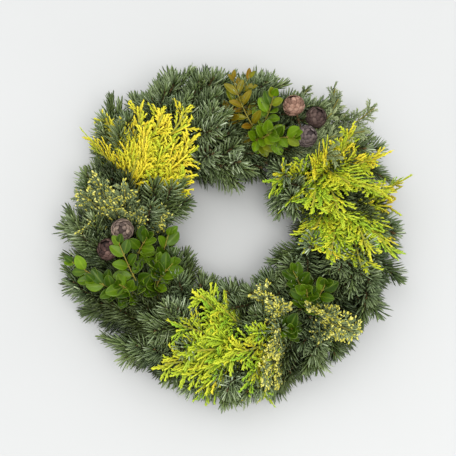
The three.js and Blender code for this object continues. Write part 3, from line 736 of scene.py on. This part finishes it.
def add_stalks(growth, root, away, face, long):
    """The short stalks of the leaves."""
    points = root[:, None] + away[:, None] * column(long)[:, None] * column(STALK_PLACES)[None]
    radii = np.full(points.shape[:2], STALK_RADIUS)
    rings = tube_rings(points, face[:, None], radii, sides=4)
    growth.add(rings, points[:, -1] + away * STALK_POINT, STALK_TINT, BARK)


def box_sprig(growth, back, leader, rng, tone):
    """Leaves in opposite pairs up the stem, which turn their faces to the light."""
    add_stem(growth, back, leader, STEM_RADIUS, BOX_STEM_TIP)
    pair = np.arange(LEAF_PAIRS)
    t = np.repeat(lerp(*PAIR_PLACES, pair / (LEAF_PAIRS - 1)), 2) + np.tile([0, PAIR_GAP], LEAF_PAIRS)
    count = len(t)
    turn = np.array([PAIR_TURNS[i % len(PAIR_TURNS)] for i in pair]).ravel()
    turn = turn + either_way(rng, PAIR_TURN_SPREAD, count)
    frames = leader.frames(t)
    lean = lerp(*PAIR_LEANS, smoothstep(t, CLOSE_FROM, 1))
    lean = lean + either_way(rng, PAIR_LEAN_SPREAD, count)
    away = frames.leaning(lean, turn)
    face = frames.out * FACE_OUT + frames.along * FACE_FORWARD + UP * FACE_UP
    face = face + rng.normal(0, FACE_SPREAD, (count, 3))
    face = unit(face - away * np.sum(face * away, axis=-1, keepdims=True))
    long = LEAF_LENGTH * rng.uniform(*LEAF_LENGTHS, count)
    long = long * lerp(1, YOUNG_LEAF, smoothstep(t, YOUNG_FROM, 1))
    add_leaves(growth, frames.at, away, face, long, tone, rng)
    add_stalks(growth, frames.at, away, face, long)


# Cones
CONE_RADIUS = 9.2
CONE_STEM = 1.2
CONE_SIDEWAYS = (0.3, 0.2, 1.0)  # a direction that is none of the cones' axes
CONE_SCALES = 52
HEART_SIZE = 0.86  # of the closed body under the scales, as shares of the cone's radius
HEART_STRETCH = 0.95
HEART_POINT = 0.9
HEART_STEPS, HEART_SIDES = 7, 12
HEART_TINT = 0.2
SCALE_HEIGHTS = (-0.8, 0.93)  # from the stalk to the tip, as shares of the cone's radius
SCALE_SIZES = (3.9, 2.6)
SCALE_SIZE_RANGE = 1.75  # the difference in height over which they shrink
SCALE_SIZE_SPREAD = (0.92, 1.08)
SCALE_ALONG = (-1.0, -0.35, 0.35, 0.85)  # a scale's form, in shares of its size
SCALE_WIDTH = (0.5, 0.98, 0.95, 0.55)
SCALE_RISE = (-0.32, 0.05, 0.2, 0.22)
SCALE_CROWN = (0.0, 0.13, 0.0)
SCALE_SIDES = (-1.0, 0.0, 1.0)
SCALE_MARK = (0.6, 1, 0.6, 0, 0, 0)  # 1 where it is raised; the lower marks get painted shade
SCALE_THICKNESS = 0.26
SCALE_TIP, SCALE_TIP_RISE = 1.08, 0.12
SCALE_TINT_SPREAD = 0.2


def cone_sprig(growth, back, leader, rng):
    """A round cone: woody scales in a spiral from the stalk to the tip, over a closed heart."""
    add_stem(growth, back, leader, CONE_STEM, CONE_STEM)
    axis = leader.frames(np.array([1.0])).along[0]
    side = unit(np.cross(axis, CONE_SIDEWAYS))
    front = np.cross(axis, side)
    add_heart(growth, leader.tip, axis, side)
    order = np.arange(CONE_SCALES)
    height = lerp(*SCALE_HEIGHTS, (order + 0.5) / CONE_SCALES)
    wide = np.sqrt(1 - height**2)
    turn = np.radians(GOLDEN_DEG * order)
    radial = side * column(np.cos(turn)) + front * column(np.sin(turn))
    around = np.cross(axis, radial)
    slope = unit(radial * column(-height) + axis * column(wide))
    out = unit(radial * column(wide) + axis * column(height))
    size = lerp(*SCALE_SIZES, (height - SCALE_HEIGHTS[0]) / SCALE_SIZE_RANGE)
    size = size * rng.uniform(*SCALE_SIZE_SPREAD, CONE_SCALES)
    add_scales(growth, leader.tip + out * CONE_RADIUS, slope, around, out, size, rng)


def add_heart(growth, centre, axis, side):
    height = np.linspace(-HEART_SIZE, HEART_SIZE, HEART_STEPS)
    radii = np.sqrt(1 - height**2)[None] * CONE_RADIUS * HEART_SIZE
    points = centre[None, None] + axis * column(height)[None] * CONE_RADIUS * HEART_STRETCH
    rings = tube_rings(points, side, radii, HEART_SIDES)
    growth.add(rings, centre[None] + axis * CONE_RADIUS * HEART_POINT, HEART_TINT, FOLIAGE)


def add_scales(growth, at, slope, around, out, size, rng):
    """Shield-shaped scales that overlap towards the tip, with a raised boss on each."""
    size = size[:, None, None, None]
    middle = at[:, None, None] + slope[:, None, None] * size * column(SCALE_ALONG)[None, :, None]
    width = np.outer(SCALE_WIDTH, SCALE_SIDES)
    spread = around[:, None, None] * size * width[None, ..., None]
    rise = np.add.outer(SCALE_RISE, SCALE_CROWN)
    top = middle + spread + out[:, None, None] * size * rise[None, ..., None]
    under = top - out[:, None, None] * size * SCALE_THICKNESS
    rings = np.concatenate([top, under[:, :, ::-1]], axis=2)
    tips = at + slope * size[:, 0, 0] * SCALE_TIP + out * size[:, 0, 0] * SCALE_TIP_RISE
    tint = np.clip(rng.normal(MIDDLE_TINT, SCALE_TINT_SPREAD, len(at)), 0, 1)
    growth.add(rings, tips, tint, FOLIAGE, mark=SCALE_MARK)


# Straw and wire
STRAW_SEED = 3
STRAW_ROWS, STRAW_SIDES = 216, 32
STRAW_INSET = 1.2  # of the closed body under the stalks
STRAW_FLOOR = 0.5  # its lowest point above the surface
STRAW_VALUE = 0.3  # its tint
STRAND_COUNT = 700
STRAND_RADIUS = 1.0
STRAND_RADII = (0.55, 1)
STRAND_SPANS = (12, 34)
STRAND_DRIFT = 16
STRAND_STEPS = 9
STRAND_POINT = 0.3
STRAND_INSET, STRAND_LIFT = 1.1, 0.8
GROOVE_DEG = 1.3  # how far a groove reaches on each side
SHALLOW_GROOVE = 0.5  # its depth at the top
WIRE_STEPS = 40  # in each turn
WIRE_END_TURNS = (0.06, 0.08)  # what the first and the last turn leave out
WIRE_RISE = (-0.95, -0.2)  # the sines of phi between which it rises over the stems
WIRE_OVER = 1.4  # its middle above the stems that it crosses
WIRE_POINT = 0.4
WIRE_UNDER = 0.4  # its middle below the straw's surface on the underside


def wire_bite(theta, phi):
    """How deep the wire draws the straw in: a groove under each turn, deepest on the underside."""
    across = (theta / TURN_DEG - phi / 360 + 0.5) % 1 - 0.5
    under = np.clip(-np.sin(np.radians(phi)), 0, 1)
    return np.exp(-((across * TURN_DEG / GROOVE_DEG) ** 2)) * lerp(SHALLOW_GROOVE, GROOVE_HEIGHT, under)


def add_straw_body(growth):
    theta = np.arange(STRAW_ROWS)[:, None] * 360 / STRAW_ROWS
    phi = np.arange(STRAW_SIDES)[None] * 360 / STRAW_SIDES
    body = round_straw(theta, phi, STRAW_RADIUS - STRAW_INSET - wire_bite(theta, phi))
    body[..., 2] = np.maximum(body[..., 2], STRAW_FLOOR)
    index = np.arange(STRAW_ROWS * STRAW_SIDES).reshape(STRAW_ROWS, STRAW_SIDES)
    after, beside = np.roll(index, -1, axis=0), np.roll(index, -1, axis=1)
    both = np.roll(after, -1, axis=1)
    quads = np.stack([index, after, both, beside], axis=-1).reshape(-1, 4)
    plain = {name: np.full(index.size, STRAW_VALUE) for name in growth.values}
    growth.join(body.reshape(-1, 3), [quads], plain, FOLIAGE)


def add_strands(growth, rng):
    """Loose stalks, wound into the surface of the straw."""
    start = rng.uniform(0, 360, (STRAND_COUNT, 1))
    span = rng.uniform(*STRAND_SPANS, (STRAND_COUNT, 1))
    s = np.linspace(0, 1, STRAND_STEPS)[None]
    theta = start + span * s
    phi = rng.uniform(0, 360, (STRAND_COUNT, 1)) + rng.normal(0, STRAND_DRIFT, (STRAND_COUNT, 1)) * s
    lift = rng.uniform(0, STRAND_LIFT, (STRAND_COUNT, 1)) * np.sin(np.pi * s)
    points = round_straw(theta, phi, STRAW_RADIUS - STRAND_INSET + lift - wire_bite(theta, phi))
    points[..., 2] = np.maximum(points[..., 2], STRAND_RADIUS)
    radii = STRAND_RADIUS * rng.uniform(*STRAND_RADII, (STRAND_COUNT, 1)) * np.ones(STRAND_STEPS)
    rings = tube_rings(points, UP, radii, sides=5)
    tips = points[:, -1] + unit(points[:, -1] - points[:, -2]) * STRAND_POINT
    growth.add(rings, tips, rng.random(STRAND_COUNT), FOLIAGE)


def straw_piece():
    """A pressed ring of straw: a closed body with loose stalks wound into its surface."""
    growth = Growth()
    add_straw_body(growth)
    add_strands(growth, np.random.default_rng(STRAW_SEED))
    return growth.piece("straw", [straw_material()])


def wire_piece():
    """One wire, wound in a spiral round the straw and over the stems."""
    growth = Growth()
    first, last = WIRE_END_TURNS
    turns = np.linspace(first, WIRE_TURNS - last, WIRE_TURNS * WIRE_STEPS)
    phi = UNDERSIDE_DEG + turns * 360
    theta = wire_theta(turns, UNDERSIDE_DEG)
    over_stems = STRAW_RADIUS + 2 * STEM_RADIUS + WIRE_OVER
    risen = smoothstep(np.sin(np.radians(phi)), *WIRE_RISE)
    points = round_straw(theta, phi, lerp(STRAW_RADIUS - WIRE_UNDER, over_stems, risen))
    points[:, 2] = np.maximum(points[:, 2], GROOVE_HEIGHT / 2)
    middle = polar(theta, RING_RADIUS, STRAW_HEIGHT)
    radii = np.full((1, len(turns)), WIRE_RADIUS)
    rings = tube_rings(points[None], (points - middle)[None], radii, sides=8)
    tip = points[-1:] + unit(points[-1:] - points[-2:-1]) * WIRE_POINT
    growth.add(rings, tip, MIDDLE_TINT, FOLIAGE)
    return growth.piece("wire", [wire_material()])


# Materials
def srgb(code):
    """A colour from its six hex digits, as Blender's linear values."""
    parts = [int(code[i : i + 2], 16) / 255 for i in (0, 2, 4)]
    return tuple(c / 12.92 if c <= 0.04045 else ((c + 0.055) / 1.055) ** 2.4 for c in parts) + (1.0,)


class Shader:
    """A Principled material, with short ways to read a mesh's own values and mix colours by them."""

    def __init__(self, name, roughness, specular):
        self.material = bpy.data.materials.new(name)
        self.material.use_nodes = True
        self.nodes = self.material.node_tree.nodes
        self.links = self.material.node_tree.links
        self.surface = self.nodes["Principled BSDF"]
        self.surface.inputs["Roughness"].default_value = roughness
        self.surface.inputs["Specular IOR Level"].default_value = specular

    def value(self, name):
        node = self.nodes.new("ShaderNodeAttribute")
        node.attribute_name = name
        return node.outputs["Fac"]

    def noise(self, scale, detail=3, stretch=(1, 1, 1)):
        place = self.nodes.new("ShaderNodeTexCoord")
        mapping = self.nodes.new("ShaderNodeMapping")
        mapping.inputs["Scale"].default_value = stretch
        node = self.nodes.new("ShaderNodeTexNoise")
        node.inputs["Scale"].default_value = scale
        node.inputs["Detail"].default_value = detail
        self.links.new(place.outputs["Object"], mapping.inputs["Vector"])
        self.links.new(mapping.outputs["Vector"], node.inputs["Vector"])
        return node.outputs["Fac"]

    def ramp(self, value, stops):
        """A colour from a value, through stops of (position, hex colour)."""
        node = self.nodes.new("ShaderNodeValToRGB")
        elements = node.color_ramp.elements
        while len(elements) < len(stops):
            elements.new(0.5)
        for element, (position, code) in zip(elements, stops):
            element.position = position
            element.color = srgb(code)
        self.links.new(value, node.inputs["Fac"])
        return node.outputs["Color"]

    def by_tint(self, stops):
        return self.ramp(self.value("tint"), stops)

    def range(self, value, low, high, start=0.0, end=1.0):
        """Start to end as the value goes from low to high."""
        node = self.nodes.new("ShaderNodeMapRange")
        for name, number in zip(("From Min", "From Max", "To Min", "To Max"), (low, high, start, end)):
            node.inputs[name].default_value = number
        self.links.new(value, node.inputs["Value"])
        return node.outputs["Result"]

    def mix(self, share, first, second):
        """The first colour or value, turning into the second as the share goes from 0 to 1."""
        node = self.nodes.new("ShaderNodeMix")
        node.data_type = "RGBA"
        factor, colour_a, colour_b = node.inputs[0], node.inputs[6], node.inputs[7]
        for socket, source in ((factor, share), (colour_a, first), (colour_b, second)):
            if isinstance(source, bpy.types.NodeSocket):
                self.links.new(source, socket)
            else:
                socket.default_value = source
        return node.outputs[2]

    def scaled(self, colour, factor):
        node = self.nodes.new("ShaderNodeVectorMath")
        node.operation = "SCALE"
        self.links.new(colour, node.inputs[0])
        self.links.new(factor, node.inputs["Scale"])
        return node.outputs["Vector"]

    def colour(self, source):
        self.links.new(source, self.surface.inputs["Base Color"])

    def bump(self, height, strength, depth):
        """Bumps as deep as depth, in millimetres."""
        node = self.nodes.new("ShaderNodeBump")
        node.inputs["Strength"].default_value = strength
        node.inputs["Distance"].default_value = depth * MM
        self.links.new(height, node.inputs["Height"])
        self.links.new(node.outputs["Normal"], self.surface.inputs["Normal"])


def needle_material(name, upper_stops, lower_stops):
    """Dark waxy green above, with a paler blue-green underside, and darkened towards the twig as painted
    shade.
    """
    shader = Shader(name, roughness=0.42, specular=0.36)
    upper = shader.by_tint(upper_stops)
    lower = shader.by_tint(lower_stops)
    under = shader.range(shader.value("mark"), 0.2, 0.9, start=0.75, end=0.0)
    body = shader.mix(under, upper, lower)
    patch = shader.range(shader.noise(38), 0.35, 0.65, end=0.35)
    body = shader.mix(patch, body, srgb("6A7430"))
    # Painted shade: the needles turn nearly black towards the twig, where shade falls among them.
    root = shader.range(shader.value("along"), 0.0, 0.45, start=0.8, end=0.0)
    shader.colour(shader.mix(root, body, srgb("1C1E0E")))
    return shader.material


def bark_material(name, stops):
    shader = Shader(name, roughness=0.75, specular=0.3)
    shader.colour(shader.ramp(shader.noise(420, 4), stops))
    shader.bump(shader.noise(700, 4), strength=0.5, depth=0.6)
    return shader.material


def gold_material():
    """Yellow-green inside the fan and darker there, partly as painted shade, golden at the tips, with an
    orange or brown flush here and there.
    """
    shader = Shader("golden_scale_leaf", roughness=0.5, specular=0.35)
    # Inside the fan the colour is partly the twigs' own green and partly painted shade.
    inner = shader.by_tint([(0.0, "46640A"), (0.5, "748610"), (1.0, "A8900E")])
    outer = shader.by_tint([(0.0, "94BC2A"), (0.5, "C6D02C"), (1.0, "EEDC34")])
    body = shader.mix(shader.range(shader.value("along"), 0.1, 0.7), inner, outer)
    flush = shader.range(shader.noise(22), 0.6, 0.75, end=0.5)
    shader.colour(shader.mix(flush, body, srgb("D8921C")))
    shader.bump(shader.noise(900, 2), strength=0.35, depth=0.4)
    return shader.material


def cypress_material():
    shader = Shader("blue_scale_leaf", roughness=0.55, specular=0.35)
    # Nearly black towards the twigs' feet inside the fan: partly their own darker green, partly painted
    # shade.
    inner = shader.by_tint([(0.0, "20280E"), (0.6, "404C26"), (1.0, "66723E")])
    outer = shader.by_tint([(0.0, "748456"), (0.6, "98A672"), (1.0, "BCC494")])
    shader.colour(shader.mix(shader.range(shader.value("along"), 0.1, 0.9), inner, outer))
    return shader.material


def bead_material():
    shader = Shader("flower_bud", roughness=0.5, specular=0.35)
    shader.colour(shader.by_tint([(0.0, "9C962A"), (0.5, "C8C24C"), (1.0, "E2DC7E")]))
    return shader.material


def leaf_material():
    """Glossy green with a paler midrib and edge, bronze on some stems, and a pale underside."""
    shader = Shader("box_leaf", roughness=0.38, specular=0.22)
    mark = shader.value("mark")
    stops = [(0.0, "1E3402"), (0.2, "365202"), (0.5, "6A8A0C"), (0.65, "74700C"), (1.0, "845A0E")]
    body = shader.by_tint(stops)
    rib = shader.range(mark, 0.0, 0.2, start=0.22, end=0.0)
    body = shader.mix(rib, body, srgb("98AC38"))
    edge = shader.range(mark, 0.85, 1.0, end=0.14)
    above = shader.mix(edge, body, srgb("98AA30"))
    under = shader.range(mark, 1.4, 1.6)
    patch = shader.range(shader.noise(120), 0.3, 0.7, start=0.68, end=1.08)
    shader.colour(shader.scaled(shader.mix(under, above, srgb("72862A")), patch))
    return shader.material


def cone_material(name, dark, middle, light):
    shader = Shader(name, roughness=0.72, specular=0.25)
    value = shader.mix(0.5, shader.value("tint"), shader.noise(260, 4))
    body = shader.ramp(value, [(0.25, dark), (0.5, middle), (0.75, light)])
    # Painted shade: each scale darkens away from its raised boss and on its underside, between the scales.
    painted_sunk_shade = shader.range(shader.value("mark"), 0.0, 1.0, start=0.85, end=0.0)
    shader.colour(shader.mix(painted_sunk_shade, body, srgb(dark)))
    shader.bump(shader.noise(520, 4, stretch=(1, 1, 3)), strength=0.7, depth=0.6)
    return shader.material


def straw_material():
    shader = Shader("dry_straw", roughness=0.62, specular=0.4)
    body = shader.by_tint([(0.0, "8A6A34"), (0.5, "BF9C58"), (1.0, "DDC486")])
    patch = shader.range(shader.noise(60), 0.35, 0.7, end=0.5)
    shader.colour(shader.mix(patch, body, srgb("7A5C2C")))
    shader.bump(shader.noise(500), strength=0.4, depth=0.5)
    return shader.material


def wire_material():
    shader = Shader("green_wire", roughness=0.35, specular=0.5)
    shader.surface.inputs["Metallic"].default_value = 0.6
    shader.colour(shader.ramp(shader.noise(300), [(0.3, "1E3A20"), (0.7, "2F5230")]))
    return shader.material


def floor_material():
    shader = Shader("pale_paper", roughness=0.9, specular=0.1)
    shader.colour(shader.ramp(shader.noise(3), [(0.3, "BFBFBD"), (0.7, "C2C2C0")]))
    return shader.material


CONE_COLOURS = {  # dark, middle and light
    "cone_top_1": ("5A4034", "926E5C", "BC9884"),
    "cone_top_2": ("2C201C", "4C3A34", "77645A"),
    "cone_top_3": ("3A3030", "6A5C58", "928480"),
    "cone_left_1": ("3C302A", "77655A", "B09A84"),
    "cone_left_2": ("221614", "463029", "7A5E54"),
}


def sprig_materials():
    """The materials of each kind of sprig, and those of each cone."""
    twig = bark_material("fir_bark", [(0.3, "4A3A24"), (0.7, "7A6038")])
    green = bark_material("green_bark", [(0.3, "5E5A24"), (0.7, "8A8438")])
    golden = bark_material("golden_bark", [(0.3, "7E8A22"), (0.6, "A8A034"), (0.8, "B48A34")])
    reddish = bark_material("box_bark", [(0.3, "6E5A1E"), (0.7, "96903A")])
    outer = needle_material(
        "fir_needle",
        [(0.0, "26351A"), (0.45, "52653A"), (0.8, "80925A"), (1.0, "BCC89C")],
        [(0.0, "586A4C"), (0.6, "96A680"), (1.0, "D4DEC6")],
    )
    # The fillers' needles are the same needles in darker colours: painted shade for the fir that lies deep
    # in the wreath.
    inner = needle_material(
        "inner_needle",
        [(0.0, "121A0C"), (0.45, "2E3C20"), (0.8, "52623A"), (1.0, "7C8C62")],
        [(0.0, "303E28"), (0.6, "5C6C4C"), (1.0, "8C9C7C")],
    )
    blue = cypress_material()
    made = {
        "fir": [outer, twig],
        "fir_filler": [inner, twig],
        "gold": [gold_material(), golden],
        "cypress": [blue, green],
        "beaded": [blue, green, bead_material()],
        "box": [leaf_material(), reddish],
    }
    for name, colours in CONE_COLOURS.items():
        made[name] = [cone_material(name + "_scales", *colours), twig]
    return made


# The stage, in metres
FLOOR_WIDTH = 24
FLOOR_DROP = 0.0002
ROOM_COLOUR = (0.95, 0.97, 1, 1)
ROOM_STRENGTH = 1.13
LIGHTS = {
    "window": dict(place=(0.3, -0.5, 1.6), size=1.2, power=16),
    "fill": dict(place=(-0.4, 0.5, 1.6), size=1.4, power=5.5),
}


def stand(name, data, place, facing):
    """Puts a camera or a light at its place, turned to where it faces."""
    item = bpy.data.objects.new(name, data)
    item.location = place
    item.rotation_mode = "QUATERNION"
    item.rotation_quaternion = facing.to_track_quat("-Z", "Y")
    bpy.context.scene.collection.objects.link(item)
    return item


def make_camera():
    """Looks down at the photograph's angle, with the middle of the ring where it shows there."""
    data = bpy.data.cameras.new("camera")
    data.lens = LENS
    data.sensor_width = SENSOR
    data.shift_x = (IMAGE_PX / 2 - LOOK_PX[0]) / IMAGE_PX
    data.shift_y = (LOOK_PX[1] - IMAGE_PX / 2) / IMAGE_PX
    rise = math.radians(CAMERA_ELEVATION)
    back = Vector((0, -math.cos(rise), math.sin(rise)))
    place = Vector((RING_CENTRE.x, RING_CENTRE.y, LOOK_HEIGHT)) + back * CAMERA_DISTANCE
    bpy.context.scene.camera = stand("camera", data, place * MM, -back)


def make_light(name, place, size, power):
    data = bpy.data.lights.new(name, "AREA")
    data.shape = "DISK"
    data.size = size
    data.energy = power
    stand(name, data, place, -Vector(place))


def make_floor():
    mesh = bpy.data.meshes.new("floor")
    half = FLOOR_WIDTH / 2
    corners = [(-half, -half, 0), (half, -half, 0), (half, half, 0), (-half, half, 0)]
    mesh.from_pydata(corners, [], [(0, 1, 2, 3)])
    mesh.materials.append(floor_material())
    floor = bpy.data.objects.new("floor", mesh)
    floor.location.z = -FLOOR_DROP
    bpy.context.scene.collection.objects.link(floor)


def make_room():
    """The soft light from all round, and the two large lights above."""
    world = bpy.data.worlds.new("soft_room")
    world.use_nodes = True
    background = world.node_tree.nodes["Background"]
    background.inputs["Color"].default_value = ROOM_COLOUR
    background.inputs["Strength"].default_value = ROOM_STRENGTH
    bpy.context.scene.world = world
    for name, light in LIGHTS.items():
        make_light(name, **light)


def tone_of(name):
    group = "_".join(name.split("_")[:2])
    return TONES.get(name, TONES.get(group, OTHER_TONE))


def places_of(groups):
    """The name of each sprig in a table, with its kind and place."""
    for pattern, kind, places in groups:
        for number, (turn, phi, theta, rho, z, *counterclockwise) in enumerate(places, 1):
            way = 1 if counterclockwise else -1
            yield pattern.format(number), (kind, turn, phi, way, (theta, rho, z))


def fir_fillers():
    """The same for the fir that fills the gaps, evenly spaced round the ring in each row."""
    number = 0
    for phi, rho, z, count, first in FIR_FILL:
        for tie in first + 360 * np.arange(count) / count:
            number += 1
            theta = tie - FIR_FILL_SWEEP
            pressed = any((theta - low) % 360 < high - low for low, high in PRESSED)
            tip = (theta, rho, z - PRESS_DEPTH * pressed)
            yield f"fir_filler_{number:02d}", ("fir_filler", tie / TURN_DEG - phi / 360, phi, -1, tip)


def build_sprig(name, kind, place, rng, materials):
    growth = Growth()
    back, leader = lay_stem(kind, *place)
    if kind in ("fir", "fir_filler"):
        fir_sprig(growth, back, leader, rng, kind, SIDE_REACH.get(name, 1))
    elif kind == "box":
        box_sprig(growth, back, leader, rng, tone_of(name))
    elif kind == "cone":
        cone_sprig(growth, back, leader, rng)
    else:
        fan_sprig(growth, back, leader, rng, kind, tone_of(name))
    growth.settle()
    return growth.piece(name + "_fine", materials)


def main():
    bpy.context.scene.view_settings.view_transform = "Standard"
    make_camera()
    make_floor()
    make_room()
    materials = sprig_materials()
    packed = dict(places_of(SPRIGS))
    sprigs = [*packed.items(), *places_of(EXTRA), *fir_fillers()]
    for seed, (name, (kind, *place)) in enumerate(sprigs):
        chosen = materials.get(name) or materials[kind]
        piece = build_sprig(name, kind, place, np.random.default_rng(seed), chosen)
        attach(piece, "root")
        if name in packed:
            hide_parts(name)
    for piece, node, slot in (
        (straw_piece(), "straw_ring", "straw"),
        (wire_piece(), "binding_wire", "wire"),
    ):
        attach(piece, "root")
        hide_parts(node)


main()
